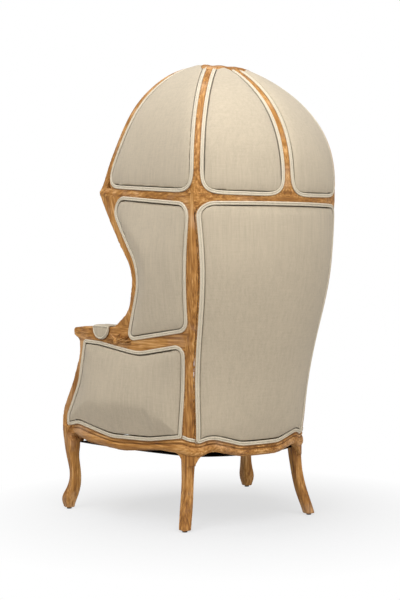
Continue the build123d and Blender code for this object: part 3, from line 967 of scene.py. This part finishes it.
def make_apron(skin, wood):
    """The bead and the broad bow along the apron's face."""
    frames = apron_frames(apron_path(), skin)
    for name, start, end, proud in APRON_MOULDINGS:
        piece = laid_moulding(name, frames, bow_section(start, end, proud), skin[0])
        finished(piece, wood, "chair", "show_wood")


def on_skin(skin, place):
    """The nearest point of the carved skin, and the skin's normal there."""
    tree, finder, skin_normals = skin
    found = tree.find_nearest(place)[0]
    normal = sum((skin_normals[near[1]] for near in finder.find_n(found, 8)), Vector())
    return found, normal.normalized()


def skin_bead(name, skin, corners, radius, material, slot):
    """A thin bead on the skin, through corners in the row frame."""
    path = even_path([Vector(corner) for corner in corners], BEAD_STEP)
    path = even_path(eased_path(path, 6), BEAD_STEP)
    rings = []
    for index, place in enumerate(path):
        found, normal = on_skin(skin, place)
        across = run_at(path, index).cross(normal).normalized()
        ends = min(index, len(path) - 1 - index)
        rings.append(round_section(found, across, normal, radius * min(1.0, 0.3 + ends / 5), 0.9))
    finished_pair(swept(f"{name}_left", rings), name, material, slot)


def carving(name, skin, middle, size, relief, grain, wood):
    """A carved relief on the skin, whose height is relief(u, v), from -1 to 1 each way."""
    centre, normal = on_skin(skin, Vector(middle))
    along = Vector(UPRIGHT).cross(normal).normalized()
    rise = normal.cross(along).normalized()
    width, height = size
    shape = bmesh.new()
    top, under = [], []
    for row in range(grain + 1):
        for column in range(grain + 1):
            u, v = 2 * column / grain - 1, 2 * row / grain - 1
            place = centre + along * (u * width / 2) + rise * (v * height / 2)
            found, facing = on_skin(skin, place)
            level = relief(u, v)
            top.append(shape.verts.new(found + facing * (level if level > 0 else -RELIEF_SINK)))
            under.append(shape.verts.new(found - facing * RELIEF_DEPTH))
    line = grain + 1
    for row in range(grain):
        for column in range(grain):
            a = row * line + column
            shape.faces.new([top[a], top[a + 1], top[a + line + 1], top[a + line]])
            shape.faces.new([under[a], under[a + line], under[a + line + 1], under[a + 1]])
    border = (list(range(line)) + [row * line + grain for row in range(1, line)]
              + [grain * line + column for column in range(grain - 1, -1, -1)]
              + [row * line for row in range(grain - 1, 0, -1)])
    for here, after in zip(border, border[1:] + border[:1]):
        shape.faces.new([top[here], under[here], under[after], top[after]])
    finished_pair(smooth_object(f"{name}_left", shape), name, wood, "show_wood")


def petal(u, v, centre, direction, length, width, tall):
    """The height of one rounded petal at a point, with a crease down its middle."""
    du, dv = u - centre[0], v - centre[1]
    along = (du * math.cos(direction) + dv * math.sin(direction)) / length
    off = (dv * math.cos(direction) - du * math.sin(direction)) / width
    if not 0 < along < 1:
        return 0.0
    half = math.sin(math.pi * along ** 0.7)
    if abs(off) >= half:
        return 0.0
    share = abs(off) / half
    return tall * math.sqrt(1 - share * share) * (0.45 + 0.55 * min(1.0, share * 2.5))


LEAF_PETALS = (
    # start across and up, turn, length, width, relief
    (-0.20, -0.30, 1.25, 1.15, 0.17, 9.0 * MM), (-0.12, -0.30, 0.72, 1.10, 0.19, 9.5 * MM),
    (-0.08, -0.32, 0.28, 1.00, 0.20, 9.0 * MM), (-0.02, -0.42, -0.10, 0.85, 0.17, 8.0 * MM),
    (-0.28, -0.22, 1.95, 0.95, 0.16, 8.5 * MM), (-0.36, -0.24, 2.60, 0.62, 0.17, 8.0 * MM),
    (-0.40, -0.34, 3.20, 0.55, 0.15, 7.0 * MM),
)


def leaf_relief(u, v):
    """Acanthus leaves that open from a small scroll."""
    height = max(petal(u, v, (across, rise), turn, length, width, tall)
                 for across, rise, turn, length, width, tall in LEAF_PETALS)
    eye = math.hypot((u - SCROLL_PLACE[0]) * 1.9, v - SCROLL_PLACE[1]) / SCROLL_REACH
    if eye < 1:
        height = max(height, SCROLL_RISE * math.sqrt(1 - eye * eye))
    return height


def rosette_relief(u, v):
    """A small round flower with an eye."""
    away, turn = math.hypot(u, v), math.atan2(v, u)
    if away > FLOWER_REACH:
        return 0.0
    ripple = abs(math.cos(2.5 * turn)) ** 0.5
    body = FLOWER_RISE * math.sqrt(1 - (away / FLOWER_REACH) ** 2) * (0.55 + 0.45 * ripple)
    eye = FLOWER_EYE_RISE * math.sqrt(max(0.0, 1 - (away / FLOWER_EYE) ** 2))
    return max(body, eye)


def make_carvings(skin, wood):
    """The leaf on each arm, the flower on each ear and the bead at each arm's end."""
    carving("arm_leaf", skin, LEAF_PLACE, LEAF_SIZE, leaf_relief, LEAF_GRAIN, wood)
    carving("ear_rosette", skin, EAR_PLACE, EAR_SIZE, rosette_relief, EAR_GRAIN, wood)
    skin_bead("arm_bead", skin, ARM_BEAD, ARM_BEAD_RADIUS, wood, "show_wood")


def make_foot_cords(skin):
    """The double cord across the foot of each back post, from welt to welt."""
    side = [point for point in welt_course("arm_welt_left")[0] if point.z < ARM_FOOT]
    back = [point for point in welt_course("back_welt")[0] if point.z < ARM_FOOT]
    rear = max(side, key=lambda point: point.y - point.z)
    near = max(back, key=lambda point: point.x - point.z)
    for name, rise in FOOT_CORDS:
        lift = Vector((0, 0, rise))
        ends = (rear + (rear - near).normalized() * FOOT_LAP + lift,
                near + (near - rear).normalized() * FOOT_LAP + lift)
        skin_bead(name, skin, ends, FOOT_CORD_RADIUS, fabric["welt_linen"], "welt_linen")


def crown_edge(turn):
    """The crown's reach in one direction: least in front, drawn in over each gore."""
    backward = min(1.0, max(0.0, (math.sin(turn) - 0.05) / 0.6))
    near = max(math.cos(turn - rib) for rib in CROWN_RIBS)
    over_gore = 1 - max(0.0, (near - CROWN_NOTCH) / (1 - CROWN_NOTCH))
    return CROWN_FRONT + (CROWN_BACK - CROWN_FRONT) * backward - CROWN_DIP * over_gore * backward


def make_crown(wood):
    """The low carved boss on top of the dome, where the ribs meet."""
    dome = surface_of_nodes(node for node in nodes if "gore" in node or node in TIMBERS)
    low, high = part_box("crown_block")
    centre = Vector(((low[0] + high[0]) / 2, CROWN_Y, 0))
    turns = [math.tau * step / CROWN_STEPS for step in range(CROWN_STEPS)]
    shape = bmesh.new()

    def ring(share, rise):
        made = []
        for turn in turns:
            place = centre + Vector((math.cos(turn), math.sin(turn), 0)) * (crown_edge(turn) * share)
            found = dome.ray_cast(place + Vector((0, 0, high[2] + CROWN_ABOVE)), Vector((0, 0, -1)))
            made.append(Vector((place.x, place.y, found[0].z if found[0] is not None else high[2])))
        made = smooth_ring(made, CROWN_ROUNDS)
        return [shape.verts.new(point + Vector((0, 0, rise))) for point in made]

    rings = [ring(share, rise) for share, rise in CROWN_SECTION]
    for inner, outer in zip(rings, rings[1:]):
        for here in range(CROWN_STEPS):
            after = (here + 1) % CROWN_STEPS
            shape.faces.new([inner[here], outer[here], outer[after], inner[after]])
    shape.faces.new(rings[0])
    shape.faces.new(rings[-1])
    finished(smooth_object("crown_boss", shape), wood, "chair", "show_wood")


def disc_welt(cover):
    """The roll round the half disc of an arm pad, on its outer face."""
    tree = surface_of(cover)
    low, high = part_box("arm_pad_left")
    reach = (high[1] - low[1]) / 2 - DISC_INSET
    middle, level = (low[1] + high[1]) / 2, low[2] + (high[1] - low[1]) / 2
    turns = [math.pi * step / DISC_STEPS for step in range(DISC_STEPS + 1)]
    path = [(middle - reach * math.cos(turn), level - reach * math.sin(turn)) for turn in turns]
    crown = [(middle + reach * math.cos(turn), level + (high[2] - level - DISC_INSET) * math.sin(turn))
             for turn in turns[1:-1]]
    points = []
    for y, z in path + crown:
        found = tree.ray_cast(Vector((high[0] + 0.05, y, z)), Vector((-1, 0, 0)))[0]
        points.append(found if found is not None else Vector((high[0], y, z)))
    rings = []
    for before, here, after in threes(smooth_ring(points, 2)):
        run = (after - before).normalized()
        across = run.cross(Vector((1, 0, 0))).normalized()
        rings.append(round_section(here, across, across.cross(run).normalized(), DISC_ROLL))
    made = ring_mesh("arm_pad_welt_left", rings)
    finished_pair(made, "arm_pad_welt", fabric["welt_linen"], "welt_linen")


def cushion_piping(cover):
    """Piping round the cushion's upper and lower seam."""
    tree = surface_of(cover)
    low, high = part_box("seat_cushion")
    centre = Vector(((low[0] + high[0]) / 2, (low[1] + high[1]) / 2, 0))
    for name, share in PIPING_LEVELS:
        level = low[2] + (high[2] - low[2]) * share
        points = []
        for step in range(PIPING_STEPS):
            turn = math.tau * step / PIPING_STEPS
            aim = Vector((math.cos(turn), math.sin(turn), 0))
            start = centre + aim * 0.8 + Vector((0, 0, level))
            found = tree.ray_cast(start, -aim)[0]
            points.append(found if found is not None else centre + aim * 0.2 + Vector((0, 0, level)))
        rings = []
        for before, here, after in threes(smooth_ring(resampled(points, PIPING_STEP), 4)):
            outward = (after - before).normalized().cross(Vector(UPRIGHT)).normalized()
            rings.append(round_section(here, outward, Vector(UPRIGHT), PIPING))
        made = ring_mesh(f"cushion_piping_{name}", rings)
        finished(made, fabric["welt_linen"], "cushion", "welt_linen")


# Floor, light and camera

def make_floor():
    """A white floor that glows more with distance, so that only the shadow shows."""
    mesh = bpy.data.meshes.new("floor")
    corners = [(across * FLOOR_HALF, along * FLOOR_HALF, 0)
               for across, along in ((-1, -1), (1, -1), (1, 1), (-1, 1))]
    mesh.from_pydata(corners, [], [(0, 1, 2, 3)])
    floor = new_object("floor", mesh)
    graph = Graph(bpy.data.materials.new("pale_floor"))
    reach = graph.node("ShaderNodeVectorMath", {0: graph.place()}, operation="LENGTH")
    far = graph.node("ShaderNodeMapRange", {"Value": reach.outputs["Value"], "From Min": FLOOR_NEAR,
                                            "From Max": FLOOR_FAR, "To Min": FLOOR_GLOW, "To Max": 1.0})
    path = graph.node("ShaderNodeLightPath")
    seen = graph.math("MAXIMUM", path.outputs["Is Camera Ray"], path.outputs["Is Glossy Ray"])
    glow = graph.node("ShaderNodeEmission")
    matte = graph.node("ShaderNodeBsdfDiffuse", {"Color": FLOOR_MATTE})
    share = graph.math("MULTIPLY", seen, far.outputs["Result"])
    blend = graph.node("ShaderNodeMixShader", {0: share, 1: matte.outputs[0], 2: glow.outputs[0]})
    graph.put(graph.tree.nodes["Material Output"].inputs["Surface"], blend.outputs[0])
    mesh.materials.append(graph.owner)


def make_world():
    """White where the camera sees it, and an even light from all round elsewhere."""
    graph = Graph(bpy.data.worlds.new("studio"))
    bpy.context.scene.world = graph.owner
    path = graph.node("ShaderNodeLightPath")
    seen = graph.math("MAXIMUM", path.outputs["Is Camera Ray"], path.outputs["Is Transmission Ray"])
    strength = graph.node("ShaderNodeMapRange", {"Value": seen, "To Min": WORLD_LIGHT, "To Max": 1.0})
    background = graph.tree.nodes["Background"]
    graph.put(background.inputs["Color"], (1, 1, 1, 1))
    graph.put(background.inputs["Strength"], strength.outputs["Result"])


def area_light(name, place, size, power, colour):
    """A soft square lamp that faces the chair."""
    light = bpy.data.lights.new(name, "AREA")
    light.color = colour
    light.size = size
    light.energy = power
    lamp = new_object(name, light)
    lamp.location = place
    lamp.rotation_euler = (LIGHT_AIM - Vector(place)).to_track_quat("-Z", "Y").to_euler()


def make_camera():
    """The camera where the photograph was taken from."""
    lens = bpy.data.cameras.new("camera")
    lens.lens = CAMERA_LENS
    camera = new_object("camera", lens)
    camera.location = CAMERA_PLACE
    turn, pitch = math.radians(CAMERA_TURN), math.radians(CAMERA_PITCH)
    ahead = Vector((-math.sin(turn) * math.cos(pitch), -math.cos(turn) * math.cos(pitch),
                    -math.sin(pitch)))
    camera.rotation_euler = ahead.to_track_quat("-Z", "Y").to_euler()
    bpy.context.scene.camera = camera


# The chair and its stage

skin = make_timbers()
trim_wood = timber("trim_timber", BACK_TO_FRONT)
make_apron(skin, trim_wood)
make_carvings(skin, trim_wood)
make_foot_cords(skin)
make_crown(trim_wood)
pads = make_pads()
disc_welt(pads["arm_pad_left"])
cushion_piping(pads["seat_cushion"])
for node in sorted(nodes):
    if "_welt" in node:
        double_welt(node)
        rebate_lip(node, skin, trim_wood)

# The CAD nodes that show as they are
for node, material in (("front_corner_blocks", timber("front_blocks", SIDE_TO_SIDE)),
                       ("back_corner_blocks", timber("back_blocks", SIDE_TO_SIDE)),
                       ("seat_webbing", fabric["jute"]),
                       ("dust_cover", fabric["cambric"]),
                       ("glides", nylon("glide_nylon"))):
    nodes[node].data.materials.clear()
    nodes[node].data.materials.append(material)

make_floor()
make_world()
for lamp in LAMPS:
    area_light(*lamp)
make_camera()
bpy.context.scene.view_settings.view_transform = "Standard"
